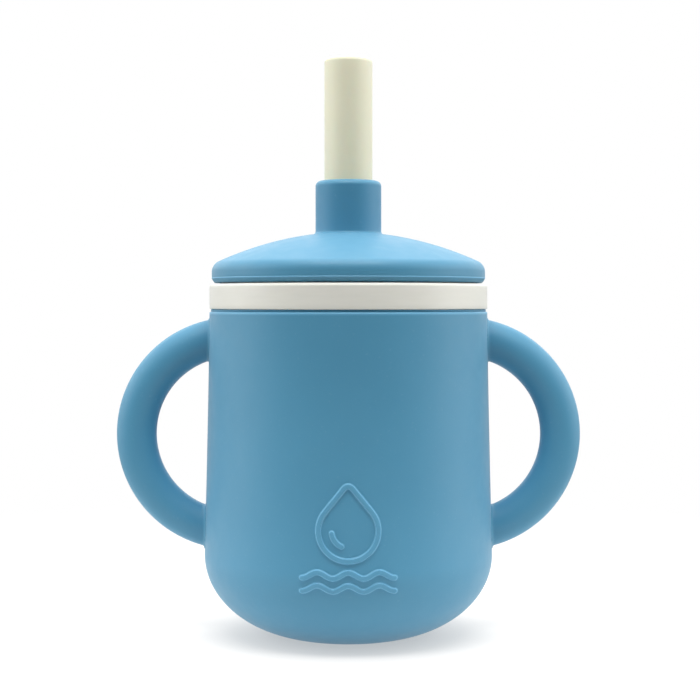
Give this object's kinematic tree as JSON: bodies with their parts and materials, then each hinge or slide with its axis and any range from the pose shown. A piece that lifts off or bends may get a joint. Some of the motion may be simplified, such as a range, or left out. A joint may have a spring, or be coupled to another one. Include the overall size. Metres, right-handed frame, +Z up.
{
  "type": "toddler straw cup",
  "caption": "Soft cup with two side loop handles, a rigid threaded ring in its mouth, a screw-on domed lid with a short spout collar, and a straw that pulls out.",
  "frame": {"origin": "centre of the cup's foot, on the surface that the cup stands on", "axes": "+Z up along the axis of the cup, lid and straw; handles along X; the raised drop and waves face -Y"},
  "size_m": [0.1172, 0.0732, 0.1452],
  "materials": {
    "silicone_blue": "matte moulded silicone, smooth and slightly velvety",
    "silicone_cream": "matte cream silicone tube",
    "plastic_cream": "off-white polypropylene, satin",
    "silicone_clear": "milky translucent silicone, modelled opaque"
  },
  "bodies": {
    "cup": {"cup_body": "silicone_blue", "threaded_collar": "plastic_cream"},
    "seal": {"lid_seal_ring": "silicone_clear"},
    "lid": {"lid_thread_insert": "plastic_cream", "lid_cover": "silicone_blue"},
    "straw_tube": {"straw": "silicone_cream"}
  },
  "joints": [
    {"name": "lid_rise", "type": "slide", "parent": "cup", "child": "seal", "axis": [0, 0, 1], "range_m": [0, 0.01001]},
    {"name": "lid_turn", "type": "hinge", "parent": "seal", "child": "lid", "pos_m": [0, 0, 0.0886], "axis": [0, 0, 1], "range_deg": [0, 450]},
    {"name": "straw_slide", "type": "slide", "parent": "lid", "child": "straw_tube", "axis": [0, 0, 1], "range_m": [-0.002, 0.108]}
  ],
  "couplings": [
    {"joint": "lid_rise", "follows": "lid_turn", "m_per_rad": 0.0012732}
  ]
}
